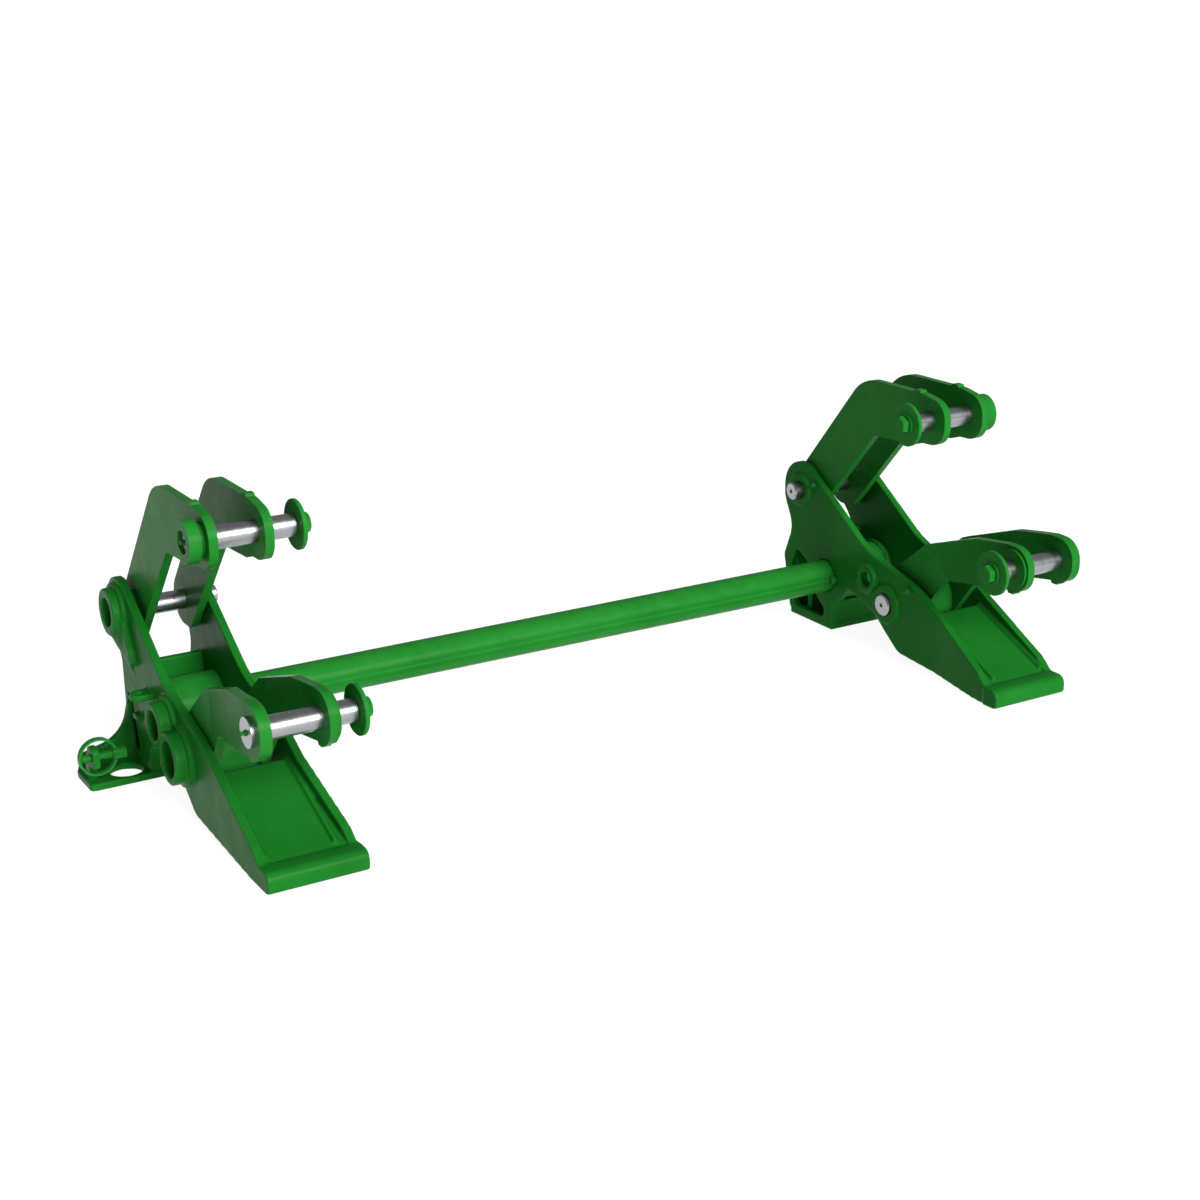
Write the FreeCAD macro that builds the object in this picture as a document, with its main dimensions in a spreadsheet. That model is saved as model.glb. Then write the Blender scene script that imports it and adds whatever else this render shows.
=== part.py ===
import FreeCAD, Part

# Tractor loader quick coupler: two mirrored carriers on one cross tube.  Each carrier has a pair
# of cheeks with a wedge nose, a foot with a lock-pin hole, and two hinged links whose front pins
# carry the loader.  X runs along the cross tube, -Y points to the noses and +Z is up.

import math
import os

import Sketcher

os.makedirs("parts", exist_ok=True)
doc = FreeCAD.newDocument("quick_coupler")
Vector = FreeCAD.Vector

# ---------------------------------------------------------------- driving dimensions (mm)
# Stations along X are distances from the middle plane.  Y is measured back from the nose and
# moved by frame_middle, so that the origin lies under the middle of the coupler's box.
DIMENSIONS = {
    "frame_middle": 261.0,
    "plate": 12.0,
    "half_width": 630.0,
    "outer_cheek": 618.0,
    "inner_cheek": 512.0,
    "nose_inner": 497.0,
    "nose_back": 22.0,
    "taper_end": 150.0,
    "nose_height": 28.0,
    "floor_end": 179.0,
    "floor_rise": 65.0,
    "foot_front": 408.0,
    "foot_back": 521.0,
    "foot_plate": 10.0,
    "foot_end": 714.0,
    "lock_hole_x": 656.0,
    "lock_hole_y": 438.0,
    "lock_hole_radius": 23.0,
    "wall_front": 478.0,
    "wall_top": 142.0,
    "tube_y": 430.0,
    "tube_z": 87.0,
    "tube_radius": 26.0,
    "tube_wall": 6.0,
    "sleeve_radius": 42.0,
    "key_radius": 7.0,
    "key_length": 26.0,
    "upper_y": 497.0,
    "upper_z": 216.0,
    "upper_pin_radius": 14.0,
    "lower_y": 268.0,
    "lower_z": 83.5,
    "lower_pin_radius": 17.0,
    "spare_y": 318.0,
    "spare_z": 112.5,
    "spare_radius": 13.0,
    "running_clearance": 0.05,
    "boss_height": 22.0,
    "upper_boss_height": 17.0,
    "upper_boss_radius": 33.0,
    "upper_boss_bore": 20.0,
    "spare_boss_radius": 31.0,
    "spare_boss_bore": 20.0,
    "lower_boss_radius": 35.0,
    "lower_boss_bore": 24.0,
    "boss_recess": 16.0,
    "ring_height": 6.0,
    "pin_head": 5.0,
    "upper_pin_reach": 9.0,
    "lower_pin_reach": 0.0,
    "rear_wall_top": 116.0,
    "web_top": 46.0,
    "front_web": 8.0,
    "front_pin_radius": 15.0,
    "upper_front_y": 201.0,
    "upper_front_z": 386.5,
    "lower_front_y": 12.0,
    "lower_front_z": 204.5,
    "upper_inner_plate": 526.5,
    "upper_outer_plate": 598.5,
    "lower_inner_plate": 533.0,
    "lower_outer_plate": 605.0,
    "lower_ear_shift": 12.0,
    "lower_ear": 15.0,
    "hub_radius": 46.0,
    "spacer_radius": 25.0,
    "ear_pad": 4.0,
    "ear_pad_radius": 30.0,
    "ear_boss": 22.0,
    "ear_boss_radius": 28.0,
    "ear_boss_neck": 23.0,
    "neck_length": 6.0,
    "ear_boss_recess": 6.0,
    "upper_pin_inner": 487.0,
    "upper_pin_outer": 628.0,
    "lower_pin_inner": 499.0,
    "lower_pin_outer": 637.0,
    "pin_flange_radius": 19.0,
    "pin_flange": 5.0,
    "keeper_radius": 32.5,
    "keeper_thickness": 6.0,
    "washer_radius": 17.0,
    "washer_thickness": 3.0,
    "bolt_head_radius": 13.9,
    "bolt_head_height": 10.0,
    "bolt_radius": 8.0,
    "bolt_reach": 32.0,
    "fitting_radius": 4.0,
    "fitting_height": 7.0,
    "lynch_x": 698.0,
    "lynch_y": 420.0,
    "lynch_z": 44.0,
    "lynch_radius": 5.0,
    "lynch_ring_radius": 26.5,
    "lynch_band": 8.0,
    "lynch_band_thickness": 3.0,
    "lynch_hub": 14.0,
    "lynch_hub_x": 660.0,
    "lynch_hub_length": 18.0,
    "lynch_peg": 2.2,
    "lynch_peg_x": 674.0,
    "lynch_peg_depth": 4.0,
    "lynch_gap": 0.3,
    "lynch_ear": 10.0,
    "eye_x": 644.0,
    "eye_y": 385.0,
    "eye_z": 126.5,
    "eye_radius": 14.0,
    "eye_hole": 5.0,
    "eye_thickness": 9.0,
    "below_floor": 10.0,
}

sheet = doc.addObject("Spreadsheet::Sheet", "Dims")
for row, (alias, value) in enumerate(DIMENSIONS.items(), start=1):
    sheet.set(f"A{row}", alias)
    sheet.set(f"B{row}", str(value))
    sheet.setAlias(f"B{row}", alias)
doc.recompute()

RIGHT = 1
LEFT = -1
SIDES = {"left": LEFT, "right": RIGHT}
parts = []


def size(formula):
    """Value of a formula of sheet aliases, such as 'plate + ear_pad'."""
    total = 0.0
    sign = 1.0
    for word in formula.split():
        if word in "+-":
            sign = 1.0 if word == "+" else -1.0
        else:
            total += sign * (DIMENSIONS[word] if word in DIMENSIONS else float(word))
    return total


def bound(formula, factor=1):
    """The same formula as an expression on the sheet, times a factor of 1 or -1."""
    words = [f"Dims.{word}" if word in DIMENSIONS else word for word in formula.split()]
    text = " ".join(words)
    return text if factor == 1 else f"-({text})"


# ---------------------------------------------------------------- drawing helpers
def new_body(name, side, station):
    """A body whose local X = 0 lies at a station and whose Y is counted from the nose."""
    body = doc.addObject("PartDesign::Body", name)
    body.Label = name
    body.setExpression("Placement.Base.x", bound(station, side))
    body.setExpression("Placement.Base.y", "-Dims.frame_middle")
    parts.append(body)
    return body


def new_sketch(body, role, offset="0", factor=1):
    """A sketch on one of the body's origin planes, moved along the plane's normal."""
    plane = [item for item in body.Origin.OriginFeatures if item.Role == role][0]
    sketch = body.newObject("Sketcher::SketchObject", f"{body.Name}_sketch")
    sketch.AttachmentSupport = (plane, [""])
    sketch.MapMode = "FlatFace"
    if offset != "0":
        sketch.setExpression("AttachmentOffset.Base.z", bound(offset, factor))
    return sketch


def draw_outline(sketch, corners):
    """A closed outline of (a, b, radius) corners, each rounded by a tangent arc."""
    points = [Vector(a, b, 0) for a, b, radius in corners]
    spans = []
    for i, here in enumerate(points):
        radius = corners[i][2]
        back = (points[i - 1] - here).normalize()
        ahead = (points[(i + 1) % len(points)] - here).normalize()
        if radius == 0:
            spans.append((here, here, here))
            continue
        half = back.getAngle(ahead) / 2
        reach = radius / math.tan(half)
        depth = radius / math.sin(half) - radius
        inward = (back + ahead).normalize()
        spans.append((here + back * reach, here + inward * depth, here + ahead * reach))
    for i, (start, middle, end) in enumerate(spans):
        if corners[i][2]:
            sketch.addGeometry(Part.Arc(start, middle, end), False)
        sketch.addGeometry(Part.LineSegment(end, spans[(i + 1) % len(spans)][0]), False)


def draw_circle(sketch, a, b, radius, sign=1):
    """A circle whose centre and radius follow the sheet; sign turns the first axis round."""
    centre = Vector(sign * size(a), size(b), 0)
    index = sketch.addGeometry(Part.Circle(centre, Vector(0, 0, 1), size(radius)), False)
    number = sketch.addConstraint(Sketcher.Constraint("Radius", index, size(radius)))
    sketch.setExpression(f"Constraints[{number}]", bound(radius))
    ends = (-1, 1, index, 3) if sign > 0 else (index, 3, -1, 1)
    if size(a):
        number = sketch.addConstraint(Sketcher.Constraint("DistanceX", *ends, size(a)))
        sketch.setExpression(f"Constraints[{number}]", bound(a))
    if size(b):
        number = sketch.addConstraint(Sketcher.Constraint("DistanceY", -1, 1, index, 3, size(b)))
        sketch.setExpression(f"Constraints[{number}]", bound(b))


def add_feature(body, kind, sketch, length, towards_normal):
    """A pad or pocket of a sheet length, along or against the sketch's normal."""
    feature = body.newObject(f"PartDesign::{kind}", f"{body.Name}_{kind.lower()}")
    feature.Profile = sketch
    feature.setExpression("Length", bound(length))
    forward_by_default = kind == "Pad"
    feature.Reversed = towards_normal != forward_by_default
    sketch.Visibility = False
    body.Tip = feature
    return feature


def pad_disc(body, side, spot, radius, length, start="0", outboard=True, hole=None):
    """A round boss along X at a (y, z) spot, from a start station, towards or off the middle."""
    sketch = new_sketch(body, "YZ_Plane", start, side)
    draw_circle(sketch, *spot, radius)
    if hole:
        draw_circle(sketch, *spot, hole)
    return add_feature(body, "Pad", sketch, length, (side > 0) == outboard)


def pocket_disc(body, side, spot, radius, length, start="0", outboard=True):
    """A round hole along X at a (y, z) spot, cut from a start station."""
    sketch = new_sketch(body, "YZ_Plane", start, side)
    draw_circle(sketch, *spot, radius)
    before = doc.recompute() and body.Shape.Volume
    feature = add_feature(body, "Pocket", sketch, length, (side > 0) == outboard)
    doc.recompute()
    if body.Shape.Volume > before - 1:
        raise RuntimeError(f"{feature.Name} cuts nothing")
    return feature


def chamfer_edges(body, width, wanted):
    """Breaks the edges that pass the test 'wanted' with a small chamfer."""
    doc.recompute()
    base = body.Tip
    names = [f"Edge{i}" for i, edge in enumerate(base.Shape.Edges, start=1) if wanted(edge)]
    feature = body.newObject("PartDesign::Chamfer", f"{body.Name}_chamfer")
    feature.Base = (base, names)
    feature.Size = width
    body.Tip = feature


UPPER = ("upper_y", "upper_z")
LOWER = ("lower_y", "lower_z")
SPARE = ("spare_y", "spare_z")
TUBE = ("tube_y", "tube_z")
UPPER_FRONT = ("upper_front_y", "upper_front_z")
LOWER_FRONT = ("lower_front_y", "lower_front_z")


# ---------------------------------------------------------------- carrier plates
def cheek_outline(back):
    """Side view of a cheek: nose end, S-shaped front edge, round top, back and arch."""
    nose_end = size("nose_back")
    foot_top = size("foot_plate")
    front = size("foot_front") + 1
    edge = [(nose_end, size("nose_height"), 0), (40, 44, 5), (204, 128, 150), (322, 156.5, 150),
            (485, 262, 30), (543, 262, 45)]
    arch = [(front, foot_top, 0), (front, 40, 8), (388, 57, 20), (368, 81, 5), (300, 60, 40),
            (272, 37, 20), (238, 12, 30),
            (nose_end + 38, 0, 20), (nose_end, 0, 0)]
    return edge + back + arch


INNER_BACK = [(543, 196, 40), (519, 150, 40), (542, 96, 12), (533, 60, 20), (523, 10, 0)]
OUTER_BACK = [(543, 196, 40), (500, 148, 30), (500, 10, 0)]
INNER_WINDOW = [(507, 114, 6), (523, 84, 10), (508, 16, 8), (430, 16, 8), (430, 32, 7),
                (452, 48, 14), (478, 100, 12)]
OUTER_WINDOW = [(488, 114, 7), (491, 24, 8), (452, 24, 8), (470, 92, 10)]
GUSSET = [(462, 214, 0), (512, 196, 0), (500, 176, 6), (430, 150, 6), (438, 176, 20)]


def bore_holes(body, side, depth, start="0"):
    """Running bores for the two pivot pins and the spare bore between them."""
    pocket_disc(body, side, UPPER, "upper_pin_radius + running_clearance", depth, start)
    pocket_disc(body, side, LOWER, "lower_pin_radius + running_clearance", depth, start)
    pocket_disc(body, side, SPARE, "spare_radius", depth, start)


def make_outer_cheek(name, side):
    """Outer cheek with three tall recessed bosses, a gusset, an eye lug and a small stop."""
    body = new_body(f"{name}_outer_cheek", side, "outer_cheek")
    sketch = new_sketch(body, "YZ_Plane")
    draw_outline(sketch, cheek_outline(OUTER_BACK))
    add_feature(body, "Pad", sketch, "plate", side > 0)
    sketch = new_sketch(body, "YZ_Plane")
    draw_outline(sketch, OUTER_WINDOW)
    add_feature(body, "Pocket", sketch, "plate", side > 0)
    sketch = new_sketch(body, "YZ_Plane", "plate", side)
    draw_outline(sketch, GUSSET)
    add_feature(body, "Pad", sketch, "9", side > 0)
    bosses = ((UPPER, "upper_boss", "upper_boss_height"), (SPARE, "spare_boss", "boss_height"),
              (LOWER, "lower_boss", "boss_height"))
    for spot, boss, height in bosses:
        pad_disc(body, side, spot, f"{boss}_radius + 6", "plate + 6")
        pad_disc(body, side, spot, f"{boss}_radius", f"plate + {height}")
    bore_holes(body, side, "plate + boss_height")
    for spot, boss, height in bosses:
        pocket_disc(body, side, spot, f"{boss}_bore", "boss_recess",
                    f"plate + {height} - boss_recess")
    reach = size("eye_x") - size("outer_cheek")
    half = size("eye_radius")
    middle = size("eye_y")
    sketch = new_sketch(body, "XY_Plane", "eye_z")
    draw_outline(sketch, [(side * 8, middle - half, 0), (side * (reach + half), middle - half, 13),
                          (side * (reach + half), middle + half, 13), (side * 8, middle + half, 0)])
    add_feature(body, "Pad", sketch, "eye_thickness", True)
    sketch = new_sketch(body, "XY_Plane", "eye_z")
    draw_circle(sketch, "eye_x - outer_cheek", "eye_y", "eye_hole", side)
    add_feature(body, "Pocket", sketch, "eye_thickness", True)
    sketch = new_sketch(body, "YZ_Plane", "plate", side)
    draw_outline(sketch, [(428, 78, 2), (446, 78, 2), (446, 87, 2), (428, 87, 2)])
    add_feature(body, "Pad", sketch, "8", side > 0)


def make_inner_cheek(name, side):
    """Inner cheek, which bends inboard towards the nose, with low rings round its bores."""
    body = new_body(f"{name}_inner_cheek", side, "nose_inner")
    bend = size("inner_cheek") - size("nose_inner")
    width = size("plate")
    nose_end = size("nose_back")
    taper_end = size("taper_end")
    start_shift = bend * nose_end / taper_end
    sketch = new_sketch(body, "YZ_Plane")
    draw_outline(sketch, cheek_outline(INNER_BACK))
    add_feature(body, "Pad", sketch, "inner_cheek - nose_inner + plate", side > 0)
    sketch = new_sketch(body, "XY_Plane", "below_floor", -1)
    draw_outline(sketch, [(side * start_shift, nose_end, 0), (side * bend, taper_end, 0),
                          (side * bend, 600, 0), (-side * 20, 600, 0), (-side * 20, nose_end - 9, 0),
                          (side * start_shift, nose_end - 9, 0)])
    add_feature(body, "Pocket", sketch, "400", True)
    sketch = new_sketch(body, "XY_Plane", "below_floor", -1)
    draw_outline(sketch, [(side * (start_shift + width), nose_end - 9, 0),
                          (side * (start_shift + width), nose_end, 0),
                          (side * (bend + width), taper_end, 0), (side * 60, taper_end, 0),
                          (side * 60, nose_end - 9, 0)])
    add_feature(body, "Pocket", sketch, "400", True)
    sketch = new_sketch(body, "YZ_Plane")
    draw_outline(sketch, INNER_WINDOW)
    add_feature(body, "Pocket", sketch, "60", side > 0)
    start = "inner_cheek - nose_inner"
    for spot, radius in ((UPPER, "27"), (SPARE, "24"), (LOWER, "31")):
        pad_disc(body, side, spot, radius, "ring_height", start, outboard=False)
    bore_holes(body, side, "plate + ring_height", f"{start} - ring_height")
    pocket_disc(body, side, TUBE, "tube_radius + running_clearance", "plate", start)
    sketch = new_sketch(body, "YZ_Plane", start, side)
    draw_circle(sketch, "tube_y - tube_radius", "tube_z", "key_radius + running_clearance")
    add_feature(body, "Pocket", sketch, "plate", side > 0)


def make_nose(name, side):
    """Wedge nose bar across the whole carrier, with the pocket floor that rises behind it."""
    body = new_body(f"{name}_nose_wedge", side, "nose_inner")
    back = size("nose_back")
    sketch = new_sketch(body, "YZ_Plane")
    draw_outline(sketch, [(-8, 0, 7), (-8, 27, 12), (10, 28, 6), (back, 28, 0), (back, 0, 0)])
    add_feature(body, "Pad", sketch, "half_width - nose_inner", side > 0)
    # Pocket floor: a sloping plate between the cheeks, which follows the inner cheek's bend.
    floor_end = size("floor_end")
    rise = size("floor_rise")
    sketch = new_sketch(body, "YZ_Plane", "plate", side)
    draw_outline(sketch, [(back - 6, 22, 0), (back + 2, 26, 0), (floor_end, 26 + rise, 5),
                          (floor_end + 4, 12 + rise, 5), (back + 10, 10, 8), (back - 6, 8, 0)])
    add_feature(body, "Pad", sketch, "outer_cheek - nose_inner - plate", side > 0)
    bend = size("inner_cheek") - size("nose_inner")
    start_shift = bend * back / size("taper_end")
    width = size("plate")
    sketch = new_sketch(body, "XY_Plane", "below_floor", -1)
    draw_outline(sketch, [(side * (start_shift + width), back, 0),
                          (side * (bend + width), size("taper_end"), 0),
                          (side * (bend + width), 220, 0), (-side * 5, 220, 0), (-side * 5, back, 0)])
    add_feature(body, "Pocket", sketch, "200", True)


def make_foot(name, side):
    """Foot: base plate with the lock-pin hole, rear wall and wing, front web and keeper ear."""
    body = new_body(f"{name}_foot", side, "inner_cheek")
    inner = 0
    outer_face = size("outer_cheek") - size("inner_cheek")
    cheek = size("plate")
    end = size("foot_end") - size("inner_cheek")
    front = size("foot_front")
    back = size("foot_back")
    top = size("foot_plate")
    sketch = new_sketch(body, "XY_Plane")
    draw_outline(sketch, [(inner, front, 0), (side * end, front, 5), (side * end, 470, 12),
                          (side * (end - 14), 500, 10), (side * 60, back, 10), (inner, back, 4)])
    add_feature(body, "Pad", sketch, "foot_plate", True)
    sketch = new_sketch(body, "XY_Plane")
    draw_circle(sketch, "lock_hole_x - inner_cheek", "lock_hole_y", "lock_hole_radius", side)
    add_feature(body, "Pocket", sketch, "foot_plate", True)
    wing = outer_face + cheek
    walls = [
        [(cheek, top, 0), (outer_face, top, 0), (outer_face, size("wall_top"), 0),
         (cheek, size("wall_top"), 0)],
        [(wing, top, 0), (end - 6, top, 0), (end - 12, 26, 10), (wing + 14, 42, 50), (wing, 98, 0)],
    ]
    for corners in walls:
        # The plane's normal points to -Y, so the offset is negative and the pad runs against it.
        sketch = new_sketch(body, "XZ_Plane", "wall_front", -1)
        draw_outline(sketch, [(side * a, b, radius) for a, b, radius in corners])
        add_feature(body, "Pad", sketch, "plate", False)
    # A front web closes the foot between the cheeks, under the sleeve.
    web_top = size("web_top")
    sketch = new_sketch(body, "XZ_Plane", "foot_front + 1", -1)
    draw_outline(sketch, [(side * a, b, 0) for a, b in ((cheek, top - 1), (outer_face, top - 1),
                                                        (outer_face, web_top), (cheek, web_top))])
    add_feature(body, "Pad", sketch, "front_web", False)
    # A slanted wall closes the box behind the inner cheek's window.
    sketch = new_sketch(body, "XY_Plane", "foot_plate - 1")
    draw_outline(sketch, [(side * cheek, 518, 0), (side * outer_face, 487, 0),
                          (side * outer_face, 497, 0), (side * cheek, 528, 0)])
    add_feature(body, "Pad", sketch, "rear_wall_top - foot_plate + 1", True)
    # A concave fillet joins the wall and the wing to the foot.
    wall = size("wall_front")
    for start, length in (("plate", "outer_cheek - inner_cheek - plate"),
                          ("outer_cheek - inner_cheek + plate", "foot_end - outer_cheek - plate - 18")):
        sketch = new_sketch(body, "YZ_Plane", start, side)
        draw_outline(sketch, [(wall - 16, top, 0), (wall - 3, top + 3, 14), (wall, top + 18, 0),
                              (wall + 4, top + 18, 0), (wall + 4, top - 2, 0),
                              (wall - 16, top - 2, 0)])
        add_feature(body, "Pad", sketch, length, side > 0)
    station = "lynch_x - inner_cheek"
    middle = size("lynch_y")
    sketch = new_sketch(body, "YZ_Plane", station, side)
    draw_outline(sketch, [(middle + 8, top, 0), (middle + 8, 27, 3), (middle - 13, 30, 6),
                          (middle - 12, 58, 9), (middle + 12, 60, 12), (middle + 34, top, 0)])
    add_feature(body, "Pad", sketch, "lynch_ear", side > 0)
    pocket_disc(body, side, ("lynch_y", "lynch_z"), "lynch_radius + running_clearance",
                "lynch_ear", station)


# ---------------------------------------------------------------- turned pieces
def round_piece(label, side, station, spot, radius, length, hole=None, edge=0.0):
    """A disc, ring or bar along X, from its inboard station outwards."""
    body = new_body(label, side, station)
    pad_disc(body, side, spot, radius, length, hole=hole)
    if edge:
        def on_rim(item):
            whole = abs(item.Length - 2 * math.pi * size(radius)) < 0.01
            return whole and item.Curve.TypeId == "Part::GeomCircle"
        chamfer_edges(body, edge, on_rim)
    return body


def make_cross_tube():
    """The cross tube, which runs through both carriers and has a key slot at each inner cheek."""
    body = new_body("cross_tube", LEFT, "outer_cheek")
    pad_disc(body, RIGHT, TUBE, "tube_radius", "outer_cheek + outer_cheek",
             hole="tube_radius - tube_wall")
    for start in ("outer_cheek - inner_cheek - 18", "outer_cheek + inner_cheek - 8"):
        pocket_disc(body, RIGHT, ("tube_y - tube_radius", "tube_z"), "key_radius", "key_length", start)


def make_keys_and_sleeve(name, side):
    """The key that locks the tube in the inner cheek, and the sleeve round the tube's end."""
    round_piece(f"{name}_tube_key", side, "inner_cheek - 8",
                ("tube_y - tube_radius", "tube_z"), "key_radius", "key_length", edge=0.8)
    body = round_piece(f"{name}_torque_sleeve", side, "inner_cheek + plate", TUBE, "sleeve_radius",
                       "outer_cheek - inner_cheek - plate", hole="tube_radius + running_clearance")
    pocket_disc(body, side, ("tube_y - tube_radius", "tube_z"), "key_radius + running_clearance", "7")


def make_pivot_pins(name, side):
    """Upper and lower pivot pins, with a centre mark in each inboard head."""
    for level, spot in (("upper", UPPER), ("lower", LOWER)):
        reach = f"{level}_pin_reach"
        depth = f"outer_cheek - inner_cheek + plate + ring_height + pin_head + 3 + {reach}"
        body = round_piece(f"{name}_{level}_pivot_pin", side,
                           f"inner_cheek - ring_height - pin_head - {reach}",
                           spot, f"{level}_pin_radius", depth, edge=2.0)
        pocket_disc(body, side, spot, "3.5", "3")


# ---------------------------------------------------------------- links
UPPER_LINK = [(533, 180, 34), (474, 180, 12), (331, 338, 12), (236, 343, 30), (214, 350, 12),
              (166, 352, 31), (166, 415, 30), (214, 424, 8), (223, 424.5, 0), (225, 428, 1),
              (237, 428, 1), (239, 424.5, 0), (362, 424, 75), (533, 228, 34)]
LOWER_LINK = [(-21, 172, 31), (6, 171, 0), (8, 167, 1), (19, 167, 1), (21, 171, 0), (158, 148, 30),
              (243, 36.5, 47), (315, 36.5, 47), (315, 106.5, 47), (205, 193, 30), (98, 229, 40),
              (26, 239, 20), (-21, 237.5, 31)]


def make_link_plate(label, side, station, outline, thickness="plate"):
    """A link plate's outline, padded outboard from its station."""
    body = new_body(label, side, station)
    sketch = new_sketch(body, "YZ_Plane")
    draw_outline(sketch, outline)
    add_feature(body, "Pad", sketch, thickness, side > 0)
    return body


def bore_link(body, side, pivot, pivot_hole, front, depth, start="0"):
    """The two bores of a link plate, cut after its pads and bosses."""
    pocket_disc(body, side, pivot, pivot_hole, depth, start)
    pocket_disc(body, side, front, "front_pin_radius", depth, start)


def make_upper_link(name, side):
    """Upper link: two elbow plates; the outer one has a grooved boss round the pin's end."""
    hole = "upper_pin_radius + running_clearance"
    body = make_link_plate(f"{name}_upper_link_inner", side, "upper_inner_plate", UPPER_LINK)
    bore_link(body, side, UPPER, hole, UPPER_FRONT, "plate")
    body = make_link_plate(f"{name}_upper_link_outer", side, "upper_outer_plate", UPPER_LINK)
    pad_disc(body, side, UPPER_FRONT, "ear_boss_neck", "plate + neck_length")
    pad_disc(body, side, UPPER_FRONT, "ear_boss_radius", "ear_boss - neck_length",
             "plate + neck_length")
    bore_link(body, side, UPPER, hole, UPPER_FRONT, "plate + ear_boss")
    round_piece(f"{name}_upper_spacer_outer", side, "upper_outer_plate + plate", UPPER,
                "spacer_radius", "outer_cheek - upper_outer_plate - plate", hole=hole)
    round_piece(f"{name}_upper_spacer_inner", side, "inner_cheek + plate", UPPER,
                "spacer_radius", "upper_inner_plate - inner_cheek - plate", hole=hole)


def make_lower_link(name, side):
    """Lower link: two plates with ear pads, joined by the hub that turns on the lower pin."""
    hole = "lower_pin_radius + running_clearance"
    body = make_link_plate(f"{name}_lower_link_inner", side, "lower_inner_plate", LOWER_LINK)
    pad_disc(body, side, LOWER_FRONT, "ear_pad_radius", "ear_pad", outboard=False)
    bore_link(body, side, LOWER, hole, LOWER_FRONT, "plate + ear_pad", "0 - ear_pad")
    # The outer plate bends outboard towards its ear, which is thicker than the arm.
    shift = size("lower_ear_shift")
    arm = size("plate")
    ear = shift + size("lower_ear")
    body = make_link_plate(f"{name}_lower_link_outer", side, "lower_outer_plate", LOWER_LINK,
                           "lower_ear_shift + lower_ear")
    cuts = [
        [(shift, -60, 0), (shift, 45, 0), (0, 190, 0), (-20, 190, 0), (-20, -60, 0)],
        [(ear, 45, 0), (arm, 190, 0), (arm, 400, 0), (ear + 20, 400, 0), (ear + 20, 45, 0)],
    ]
    for corners in cuts:
        sketch = new_sketch(body, "XY_Plane")
        draw_outline(sketch, [(side * a, b, radius) for a, b, radius in corners])
        add_feature(body, "Pocket", sketch, "300", True)
    bore_link(body, side, LOWER, hole, LOWER_FRONT, "lower_ear_shift + lower_ear")
    round_piece(f"{name}_lower_hub", side, "lower_inner_plate + plate", LOWER, "hub_radius",
                "lower_outer_plate - lower_inner_plate - plate", hole=hole)
    round_piece(f"{name}_lower_spacer", side, "inner_cheek + plate", LOWER, "spacer_radius",
                "lower_inner_plate - inner_cheek - plate", hole=hole)


def make_front_pin(name, side, level):
    """A front pin with its keeper disc, washer, bolt and grease fitting."""
    spot = (f"{level}_front_y", f"{level}_front_z")
    start = f"{level}_pin_inner"
    length = f"{level}_pin_outer - {level}_pin_inner"
    label = f"{name}_{level}_front_pin"
    body = round_piece(label, side, start, spot, "front_pin_radius", length, edge=1.5)
    if level == "lower":
        pad_disc(body, side, spot, "pin_flange_radius", "pin_flange", f"{length} - pin_flange")
    pocket_disc(body, side, spot, "bolt_radius", "bolt_reach")
    pocket_disc(body, side, spot, "fitting_radius", "8", f"{length} - 8")
    round_piece(f"{label}_keeper", side, f"{start} - keeper_thickness", spot, "keeper_radius",
                "keeper_thickness", hole="bolt_radius", edge=1.0)
    round_piece(f"{label}_washer", side, f"{start} - keeper_thickness - washer_thickness", spot,
                "washer_radius", "washer_thickness", hole="bolt_radius")
    stack = "keeper_thickness - washer_thickness"
    head = f"{start} - {stack} - bolt_head_height"
    body = new_body(f"{label}_bolt", side, head)
    sketch = new_sketch(body, "YZ_Plane")
    corners = []
    for turn in range(6):
        angle = math.radians(60 * turn + 30)
        corners.append((size(spot[0]) + size("bolt_head_radius") * math.cos(angle),
                        size(spot[1]) + size("bolt_head_radius") * math.sin(angle), 0))
    draw_outline(sketch, corners)
    add_feature(body, "Pad", sketch, "bolt_head_height", side > 0)
    pad_disc(body, side, spot, "bolt_radius",
             "bolt_head_height + keeper_thickness + washer_thickness + bolt_reach - 2")
    body = new_body(f"{label}_grease_fitting", side, f"{level}_pin_outer - 8")
    pad_disc(body, side, spot, "fitting_radius", "8 + 3")
    pad_disc(body, side, spot, "fitting_radius - 1.2", "8 + fitting_height")


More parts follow.
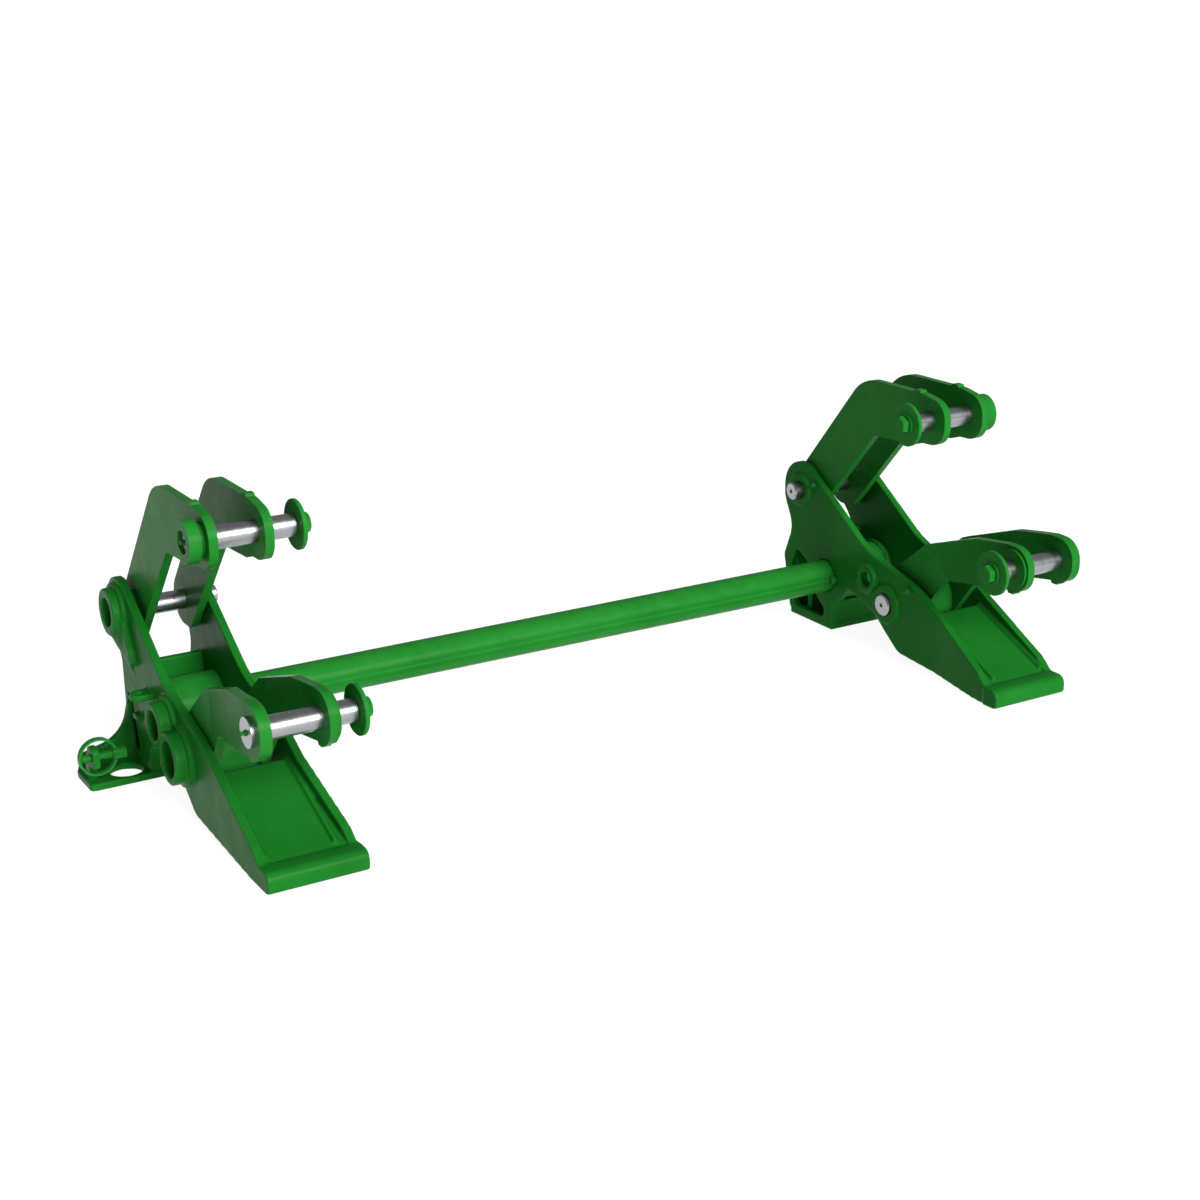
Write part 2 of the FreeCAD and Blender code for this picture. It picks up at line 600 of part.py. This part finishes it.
# ---------------------------------------------------------------- lynch pin
def make_lynch_pin(name, side):
    """A lynch pin through the foot's ear: shank and hub, and the band ring that closes on it."""
    spot = ("lynch_y", "lynch_z")
    body = new_body(f"{name}_lynch_pin", side, "lynch_hub_x")
    middle_y = size("lynch_y")
    middle_z = size("lynch_z")
    half = size("lynch_hub") / 2
    sketch = new_sketch(body, "YZ_Plane")
    draw_outline(sketch, [(middle_y - half, middle_z - half, 4), (middle_y + half, middle_z - half, 4),
                          (middle_y + half, middle_z + half, 4), (middle_y - half, middle_z + half, 4)])
    add_feature(body, "Pad", sketch, "lynch_hub_length", side > 0)
    pad_disc(body, side, spot, "lynch_radius",
             "lynch_x - lynch_hub_x + lynch_ring_radius - lynch_band_thickness - 1")
    # A blind hole in the hub's top and one in its bottom take the ring's pegs.
    for face, upwards in (("lynch_z + lynch_hub / 2", False), ("lynch_z - lynch_hub / 2", True)):
        sketch = new_sketch(body, "XY_Plane", face)
        draw_circle(sketch, "lynch_peg_x - lynch_hub_x", "lynch_y", "lynch_peg + running_clearance", side)
        add_feature(body, "Pocket", sketch, "lynch_peg_depth + lynch_gap", upwards)

    body = new_body(f"{name}_lynch_ring", side, "lynch_x")
    sketch = new_sketch(body, "XZ_Plane", "lynch_y - lynch_band / 2", -1)
    draw_circle(sketch, "0", "lynch_z", "lynch_ring_radius")
    draw_circle(sketch, "0", "lynch_z", "lynch_ring_radius - lynch_band_thickness")
    add_feature(body, "Pad", sketch, "lynch_band", False)
    # The ring is open at the hub, and its two ends lie over the hub's top and bottom.
    gap = half + size("lynch_gap")
    inner = side * size("lynch_ring_radius")
    sketch = new_sketch(body, "XZ_Plane", "lynch_y - lynch_band", -1)
    draw_outline(sketch, [(-inner - side * 5, middle_z - gap, 0), (-inner / 2, middle_z - gap, 0),
                          (-inner / 2, middle_z + gap, 0), (-inner - side * 5, middle_z + gap, 0)])
    add_feature(body, "Pocket", sketch, "lynch_band + lynch_band", False)
    # A peg on each end turns in the hub's hole.
    for foot, upwards in (("lynch_z + lynch_hub / 2 - lynch_peg_depth", True),
                          ("lynch_z - lynch_hub / 2 + lynch_peg_depth", False)):
        sketch = new_sketch(body, "XY_Plane", foot)
        draw_circle(sketch, "lynch_x - lynch_peg_x", "lynch_y", "lynch_peg", -side)
        add_feature(body, "Pad", sketch, "lynch_peg_depth + 1.5", upwards)


# ---------------------------------------------------------------- the whole coupler
make_cross_tube()
for name, side in SIDES.items():
    make_outer_cheek(name, side)
    make_inner_cheek(name, side)
    make_nose(name, side)
    make_foot(name, side)
    make_keys_and_sleeve(name, side)
    make_pivot_pins(name, side)
    make_upper_link(name, side)
    make_lower_link(name, side)
    make_front_pin(name, side, "upper")
    make_front_pin(name, side, "lower")
    make_lynch_pin(name, side)
doc.recompute()

for item in doc.Objects:
    if "Invalid" in item.State or "Error" in item.State:
        raise RuntimeError(f"{item.Name} failed: {item.State}")
for body in parts:
    if body.Shape.isNull() or not body.Shape.isValid() or len(body.Shape.Solids) != 1:
        raise RuntimeError(f"{body.Label} is not one valid solid")
for body in parts:
    body.Shape.exportStep(f"parts/{body.Label}.step")
print(len(parts), "sub-parts written")
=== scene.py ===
import math

import bpy
import bmesh
from mathutils import Matrix, Vector


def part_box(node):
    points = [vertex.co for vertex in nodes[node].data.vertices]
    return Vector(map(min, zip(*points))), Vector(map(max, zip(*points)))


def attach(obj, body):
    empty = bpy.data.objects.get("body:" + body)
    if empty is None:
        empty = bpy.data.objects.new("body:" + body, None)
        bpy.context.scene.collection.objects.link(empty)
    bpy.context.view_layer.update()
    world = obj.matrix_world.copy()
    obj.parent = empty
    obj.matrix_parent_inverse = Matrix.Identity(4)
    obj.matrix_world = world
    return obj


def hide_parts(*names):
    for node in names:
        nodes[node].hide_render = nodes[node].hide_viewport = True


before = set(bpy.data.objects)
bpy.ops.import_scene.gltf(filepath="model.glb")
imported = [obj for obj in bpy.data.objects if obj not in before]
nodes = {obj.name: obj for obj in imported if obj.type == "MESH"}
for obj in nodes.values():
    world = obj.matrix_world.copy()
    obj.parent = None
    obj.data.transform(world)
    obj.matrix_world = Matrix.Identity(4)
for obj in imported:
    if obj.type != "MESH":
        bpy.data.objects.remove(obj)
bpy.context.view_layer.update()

# Places of the mechanism in the row frame, in metres, repeated from the CAD's own dimensions.
FRONT = -0.261
UPPER = (FRONT + 0.497, 0.216)
TUBE = (FRONT + 0.430, 0.087)
SIDES = {"left": -1, "right": 1}

# Low cast marks on the inner cheek, each as (distance back from the nose, height).  The first is
# on the right unit only.
CAST_MARKS = ((0.459, 0.2325), (0.215, 0.1195), (0.057, 0.0095))
CAST_MARK_STATION = 0.506
CAST_MARK_RADIUS = 0.0058
CAST_MARK_HEIGHT = 0.0036
CAST_VOXEL = 0.0015
CAST_SMOOTHING = 8

WELD_STATIONS = (0.5195, 0.6105)
WELD_RADIUS = 0.0425
WELD_SIZE = 0.0028

BOLT_REACH = 0.0139
BOLT_HEAD = 0.0095
BOLT_CHAMFER = 0.0014
BOLT_FACE = 0.0118
BOLT_SHANK = 0.0079
NIPPLE_HEIGHT = 0.007

FLOOR_REACH = 90.0
FLOOR_DROP = 0.0005
WORLD_STRENGTH = 0.28
KEY_TOWARDS = (0.10, -0.88, 0.46)
KEY_ANGLE = 34.0
KEY_POWER = 6.4
CAMERA_PLACE = (-1.3924, -2.3392, 1.0837)
CAMERA_RIGHT = (0.8590, -0.5119, -0.0112)
CAMERA_UP = (0.1698, 0.2642, 0.9494)
CAMERA_LENS = 60.745


# ---------------------------------------------------------------- materials
def new_material(name):
    material = bpy.data.materials.new(name)
    material.use_nodes = True
    tree = material.node_tree
    shader = tree.nodes["Principled BSDF"]
    return material, tree, shader


def add_node(tree, kind, **inputs):
    node = tree.nodes.new(kind)
    for key, value in inputs.items():
        node.inputs[key.replace("_", " ")].default_value = value
    return node


def noise(tree, coords, scale, detail=3.0, roughness=0.55):
    node = add_node(tree, "ShaderNodeTexNoise", Scale=scale, Detail=detail, Roughness=roughness)
    tree.links.new(coords, node.inputs["Vector"])
    return node.outputs["Fac"]


def ramp(tree, value, stops):
    node = tree.nodes.new("ShaderNodeValToRGB")
    elements = node.color_ramp.elements
    while len(elements) < len(stops):
        elements.new(0.5)
    for element, (place, colour) in zip(elements, stops):
        element.position = place
        element.color = (*colour, 1.0)
    tree.links.new(value, node.inputs["Fac"])
    return node.outputs["Color"]


def bump(tree, height, strength, distance, normal=None):
    node = add_node(tree, "ShaderNodeBump", Strength=strength, Distance=distance)
    tree.links.new(height, node.inputs["Height"])
    if normal:
        tree.links.new(normal, node.inputs["Normal"])
    return node.outputs["Normal"]


def enamel(name, colour, coarse, roughness):
    """Gloss enamel over steel: faint mottling, painted edge highlights, uneven gloss, orange peel and
    grain.
    """
    material, tree, shader = new_material(name)
    coords = tree.nodes.new("ShaderNodeTexCoord").outputs["Object"]
    deep = tuple(c * 0.86 for c in colour)
    pale = tuple(c * 1.08 + 0.001 for c in colour)
    mottle = noise(tree, coords, 9.0, 5.0, 0.6)
    base = ramp(tree, mottle, [(0.32, deep), (0.68, pale)])
    pointiness = tree.nodes.new("ShaderNodeNewGeometry").outputs["Pointiness"]
    # Painted highlight: sharp convex edges get a paler green, broken up by noise, standing in for
    # light catching the edges.
    edge = ramp(tree, pointiness, [(0.50, (0, 0, 0)), (0.60, (1, 1, 1))])
    mix = tree.nodes.new("ShaderNodeMix")
    mix.data_type = "RGBA"
    mix.inputs["B"].default_value = (*(c * 1.35 + 0.006 for c in colour), 1.0)
    tree.links.new(base, mix.inputs["A"])
    edge_highlight_mask = add_node(tree, "ShaderNodeMath")
    edge_highlight_mask.operation = "MULTIPLY"
    tree.links.new(edge, edge_highlight_mask.inputs[0])
    tree.links.new(noise(tree, coords, 45.0, 4.0), edge_highlight_mask.inputs[1])
    tree.links.new(edge_highlight_mask.outputs["Value"], mix.inputs["Factor"])
    tree.links.new(mix.outputs["Result"], shader.inputs["Base Color"])
    smudge = noise(tree, coords, 30.0, 4.0, 0.6)
    low = roughness * 0.8
    high = roughness * 1.35
    rough = ramp(tree, smudge, [(0.3, (low,) * 3), (0.75, (high,) * 3)])
    tree.links.new(rough, shader.inputs["Roughness"])
    peel = bump(tree, noise(tree, coords, 520.0, 2.0), 0.10, 0.0004)
    grain = bump(tree, noise(tree, coords, 150.0, 4.0), coarse, 0.0010, peel)
    tree.links.new(grain, shader.inputs["Normal"])
    shader.inputs["IOR"].default_value = 1.11
    return material


def ground_steel(name):
    """Ground bright steel: fine rings round the pin's axis and faint patches of tone."""
    material, tree, shader = new_material(name)
    coords = tree.nodes.new("ShaderNodeTexCoord").outputs["Object"]
    stretch = tree.nodes.new("ShaderNodeMapping")
    stretch.inputs["Scale"].default_value = (160.0, 4.0, 4.0)
    tree.links.new(coords, stretch.inputs["Vector"])
    rings = noise(tree, stretch.outputs["Vector"], 1.0, 3.0)
    patches = noise(tree, coords, 14.0, 4.0)
    tone = ramp(tree, patches, [(0.3, (0.31, 0.32, 0.33)), (0.7, (0.37, 0.38, 0.39))])
    tree.links.new(tone, shader.inputs["Base Color"])
    rough = ramp(tree, rings, [(0.3, (0.26,) * 3), (0.7, (0.31,) * 3)])
    tree.links.new(rough, shader.inputs["Roughness"])
    tree.links.new(bump(tree, rings, 0.02, 0.0001), shader.inputs["Normal"])
    shader.inputs["Metallic"].default_value = 1.0
    return material


GREEN = (0.0055, 0.106, 0.0095)
cast_green = enamel("cast_green_enamel", GREEN, 0.07, 0.30)
plate_green = enamel("plate_green_enamel", GREEN, 0.03, 0.27)
small_green = enamel("hardware_green_enamel", (0.0065, 0.116, 0.011), 0.03, 0.28)
steel = ground_steel("ground_steel")


def paint(obj, material):
    if obj.data.materials:
        for i in range(len(obj.data.materials)):
            obj.data.materials[i] = material
    else:
        obj.data.materials.append(material)


# ---------------------------------------------------------------- mesh helpers
def link_mesh(name, bm, material, body, node_names=(), smooth_angle=35.0):
    """Turns a bmesh into a piece that rides on a body and stands for its CAD nodes."""
    mesh = bpy.data.meshes.new(name)
    bm.to_mesh(mesh)
    bm.free()
    piece = bpy.data.objects.new(name, mesh)
    bpy.context.scene.collection.objects.link(piece)
    paint(piece, material)
    for polygon in mesh.polygons:
        polygon.use_smooth = True
    mesh.set_sharp_from_angle(angle=math.radians(smooth_angle))
    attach(piece, body)
    if node_names:
        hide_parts(*node_names)
    return piece


def soften(obj, width, segments=2, angle=35.0):
    """Rounds a CAD node's sharp edges with an angle-limited bevel."""
    bevel = obj.modifiers.new("edges", "BEVEL")
    bevel.width = width
    bevel.segments = segments
    bevel.limit_method = "ANGLE"
    bevel.angle_limit = math.radians(angle)
    bevel.harden_normals = False
    bevel.use_clamp_overlap = True


def around(x, spot, angle, radius):
    """The point at an angle and a radius about an axis along X through a (y, z) spot."""
    return x, spot[0] + radius * math.cos(angle), spot[1] + radius * math.sin(angle)


def band(bm, low, high):
    """Joins two rings of vertices by a band of quads."""
    for i in range(len(low)):
        j = (i + 1) % len(low)
        bm.faces.new((low[i], low[j], high[j], high[i]))


def capped_tube(bm, rings):
    """Joins rings of vertices into a tube that is closed at both ends."""
    for low, high in zip(rings, rings[1:]):
        band(bm, low, high)
    bm.faces.new(rings[0])
    bm.faces.new(rings[-1])


def lathe(bm, side, station, spot, profile, steps):
    """Revolves (x, r) points about an axis along X through a (y, z) spot, outboard from a station."""
    rings = []
    for x, r in profile:
        rings.append([bm.verts.new(around(side * (station + x), spot, 2 * math.pi * i / steps, r))
                      for i in range(steps)])
    capped_tube(bm, rings)
    bmesh.ops.recalc_face_normals(bm, faces=bm.faces)


def copied(*sources):
    """One bmesh that holds copies of CAD nodes' meshes."""
    bm = bmesh.new()
    for source in sources:
        bm.from_mesh(nodes[source].data)
    bmesh.ops.remove_doubles(bm, verts=bm.verts, dist=1e-6)
    return bm


def baked(piece):
    """Replaces a piece's mesh by its shape with the modifiers applied."""
    graph = bpy.context.evaluated_depsgraph_get()
    mesh = bpy.data.meshes.new_from_object(piece.evaluated_get(graph))
    piece.modifiers.clear()
    piece.data = mesh


def nub(bm, x, y, z, radius, height):
    """A low round cast mark on a face that looks along X."""
    matrix = Matrix.Translation((x, y, z)) @ Matrix.Diagonal((height, radius, radius, 1))
    bmesh.ops.create_uvsphere(bm, u_segments=20, v_segments=12, radius=1.0, matrix=matrix)


def web(bm, side, spot, radius, tip):
    """A web that tapers from a boss on the outer cheek down to a point on the cheek's face."""
    places = [(0.6300, *tip), (0.6250, *tip)]
    for x in (0.6250, 0.6445):
        for turn in range(8):
            a = math.radians(180 + 15 * turn)
            places.append(around(x, spot, a, radius))
    corners = [bm.verts.new((side * x, y, z)) for x, y, z in places]
    hull = bmesh.ops.convex_hull(bm, input=corners)
    buried = [v for v in hull["geom_interior"] if isinstance(v, bmesh.types.BMVert)]
    bmesh.ops.delete(bm, geom=buried, context="VERTS")


# ---------------------------------------------------------------- castings
def bead_between(bm, a, b, size):
    """A thin prism along a joint line, which the remesh melts into a casting fillet."""
    a = Vector(a)
    b = Vector(b)
    along = (b - a).normalized()
    across = along.orthogonal().normalized()
    other = along.cross(across)
    ends = []
    for point in (a, b):
        ends.append([bm.verts.new(point + size * (math.cos(t) * across + math.sin(t) * other))
                     for t in (math.pi * k / 3 for k in range(6))])
    band(bm, ends[0], ends[1])
    bm.faces.new(ends[0][::-1])
    bm.faces.new(ends[1])


def make_casting(name, side):
    """The carrier's cheeks, nose and foot as one painted casting with soft fillets."""
    sources = [f"{name}_outer_cheek", f"{name}_inner_cheek", f"{name}_nose_wedge", f"{name}_foot"]
    bm = copied(*sources)
    wall = FRONT + 0.478
    for x in (0.5255, 0.6165):
        bead_between(bm, (side * x, FRONT + 0.030, 0.031), (side * x, FRONT + 0.176, 0.0915), 0.0035)
    for x in (0.5245, 0.6175):
        bead_between(bm, (side * x, wall, 0.014), (side * x, wall, 0.140), 0.003)
    bead_between(bm, (side * 0.6305, wall, 0.016), (side * 0.6305, wall, 0.092), 0.005)
    bead_between(bm, (side * 0.526, wall, 0.0115), (side * 0.616, wall, 0.0115), 0.004)
    for y, z in CAST_MARKS if side > 0 else CAST_MARKS[1:]:
        nub(bm, side * CAST_MARK_STATION, FRONT + y, z, CAST_MARK_RADIUS, CAST_MARK_HEIGHT)
    web(bm, side, UPPER, 0.030, (FRONT + 0.447, 0.137))
    piece = link_mesh(f"{name}_carrier_casting", bm, cast_green, "carrier", sources)
    remesh = piece.modifiers.new("cast", "REMESH")
    remesh.mode = "VOXEL"
    remesh.voxel_size = CAST_VOXEL
    remesh.use_smooth_shade = True
    smooth = piece.modifiers.new("fillets", "SMOOTH")
    smooth.factor = 0.5
    smooth.iterations = CAST_SMOOTHING
    baked(piece)


for name, side in SIDES.items():
    make_casting(name, side)

# ---------------------------------------------------------------- welded sleeve
def weld_bead(bm, side, station, spot, radius, size):
    """A rippled ring of weld round an axis along X."""
    steps = 132
    rings = []
    for i in range(steps):
        a = 2 * math.pi * i / steps
        lump = 1.0 + 0.16 * math.sin(a * 33) + 0.10 * math.sin(a * 7 + 1.3)
        middle = radius + 0.0006 * math.sin(a * 5)
        ring = []
        for k in range(8):
            t = 2 * math.pi * k / 8
            r = middle + size * lump * math.cos(t)
            x = side * (station + size * lump * math.sin(t))
            ring.append(bm.verts.new(around(x, spot, a, r)))
        rings.append(ring)
    for i, ring in enumerate(rings):
        band(bm, ring, rings[(i + 1) % steps])


for name, side in SIDES.items():
    source = f"{name}_torque_sleeve"
    bm = copied(source)
    for station in WELD_STATIONS:
        weld_bead(bm, side, station, TUBE, WELD_RADIUS, WELD_SIZE)
    bmesh.ops.recalc_face_normals(bm, faces=bm.faces)
    link_mesh(f"{name}_welded_sleeve", bm, plate_green, "carrier", (source,))


# ---------------------------------------------------------------- turned and hexagonal hardware
def span(node_name):
    """A node's stations along X, counted off the middle, and the (y, z) spot of its axis."""
    low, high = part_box(node_name)
    stations = sorted((abs(low[0]), abs(high[0])))
    return stations, ((low[1] + high[1]) / 2, (low[2] + high[2]) / 2)


def hexagon(bm, side, station, spot, reach, height, chamfer):
    """A bolt head whose outer face is turned down to a circle."""
    rings = []
    for x, rounded in ((0.0, 1.0), (chamfer, 0.0), (height, 0.0)):
        ring = []
        for i in range(36):
            a = 2 * math.pi * i / 36 + math.pi / 6
            flat = reach * math.cos(math.pi / 6)
            edge = flat / math.cos((a - math.pi / 6) % (math.pi / 3) - math.pi / 6)
            r = (flat * 0.985) * rounded + edge * (1.0 - rounded)
            ring.append(bm.verts.new(around(side * (station + x), spot, a, r)))
        rings.append(ring)
    capped_tube(bm, rings)


def make_bolt(name, side, level):
    """The bolt that clamps the keeper: head, washer face and shank."""
    source = f"{name}_{level}_front_pin_bolt"
    (inner, outer), spot = span(source)
    bm = bmesh.new()
    hexagon(bm, side, inner, spot, BOLT_REACH, BOLT_HEAD, BOLT_CHAMFER)
    lathe(bm, side, inner, spot, [(BOLT_HEAD, BOLT_FACE), (0.0100, BOLT_FACE), (0.0100, BOLT_SHANK),
                                  (outer - inner, BOLT_SHANK)], 32)
    link_mesh(f"{name}_{level}_keeper_bolt", bm, small_green, f"{name}_{level}_link",
              (source,), 25.0)


def make_nipple(name, side, level):
    """The grease nipple in the outer end of a front pin."""
    source = f"{name}_{level}_front_pin_grease_fitting"
    (inner, outer), spot = span(source)
    bm = bmesh.new()
    face = outer - inner - NIPPLE_HEIGHT
    lathe(bm, side, inner, spot,
          [(0.0, 0.0039), (face + 0.0016, 0.0039), (face + 0.0021, 0.0033), (face + 0.0030, 0.0022),
           (face + 0.0040, 0.0021), (face + 0.0046, 0.0028), (face + 0.0056, 0.0030),
           (face + 0.0066, 0.0023), (face + 0.0069, 0.0008)], 24)
    link_mesh(f"{name}_{level}_grease_nipple", bm, small_green, f"{name}_{level}_link",
              (source,), 30.0)


for name, side in SIDES.items():
    for level in ("upper", "lower"):
        make_bolt(name, side, level)
        make_nipple(name, side, level)

# ---------------------------------------------------------------- plates, tube and discs
for node_name, node in nodes.items():
    if node_name.endswith(("_pivot_pin", "_front_pin")):
        paint(node, steel)
        soften(node, 0.0006)
    elif "_link_" in node_name:
        paint(node, plate_green)
        soften(node, 0.0016, 3)
    elif "hub" in node_name or "spacer" in node_name or node_name == "cross_tube":
        paint(node, plate_green)
        soften(node, 0.0012)
    elif "lynch" in node_name:
        paint(node, small_green)
        soften(node, 0.0010, 3)
    else:
        paint(node, small_green)
        soften(node, 0.0008)

# ---------------------------------------------------------------- floor, lights and camera
bm = bmesh.new()
bmesh.ops.create_grid(bm, x_segments=1, y_segments=1, size=FLOOR_REACH)
mesh = bpy.data.meshes.new("floor")
bm.to_mesh(mesh)
bm.free()
floor = bpy.data.objects.new("floor", mesh)
floor.location.z = -FLOOR_DROP
bpy.context.scene.collection.objects.link(floor)
floor_material, tree, shader = new_material("pale_floor")
shader.inputs["Base Color"].default_value = (0.15, 0.15, 0.15, 1)
shader.inputs["Roughness"].default_value = 0.9
shader.inputs["Emission Color"].default_value = (1.0, 1.0, 1.0, 1)
shader.inputs["Emission Strength"].default_value = 0.92
paint(floor, floor_material)

world = bpy.data.worlds.new("studio")
bpy.context.scene.world = world
world.use_nodes = True
world.node_tree.nodes["Background"].inputs["Color"].default_value = (1.0, 1.0, 1.0, 1)
world.node_tree.nodes["Background"].inputs["Strength"].default_value = WORLD_STRENGTH


def soft_sun(name, towards, angle, power):
    """A wide, soft light from far off, shining from the given direction."""
    data = bpy.data.lights.new(name, "SUN")
    data.angle = math.radians(angle)
    data.energy = power
    light = bpy.data.objects.new(name, data)
    light.rotation_euler = (-Vector(towards)).to_track_quat("-Z", "Y").to_euler()
    bpy.context.scene.collection.objects.link(light)


soft_sun("key", KEY_TOWARDS, KEY_ANGLE, KEY_POWER)

right = Vector(CAMERA_RIGHT).normalized()
up = Vector(CAMERA_UP)
up = (up - up.dot(right) * right).normalized()
back = right.cross(up)
camera_data = bpy.data.cameras.new("camera")
camera_data.sensor_width = 36.0
camera_data.lens = CAMERA_LENS
camera_data.clip_end = 200.0
camera = bpy.data.objects.new("camera", camera_data)
turn = Matrix((right, up, back)).transposed().to_4x4()
camera.matrix_world = Matrix.Translation(CAMERA_PLACE) @ turn
bpy.context.scene.collection.objects.link(camera)
bpy.context.scene.camera = camera
bpy.context.scene.view_settings.view_transform = "Standard"
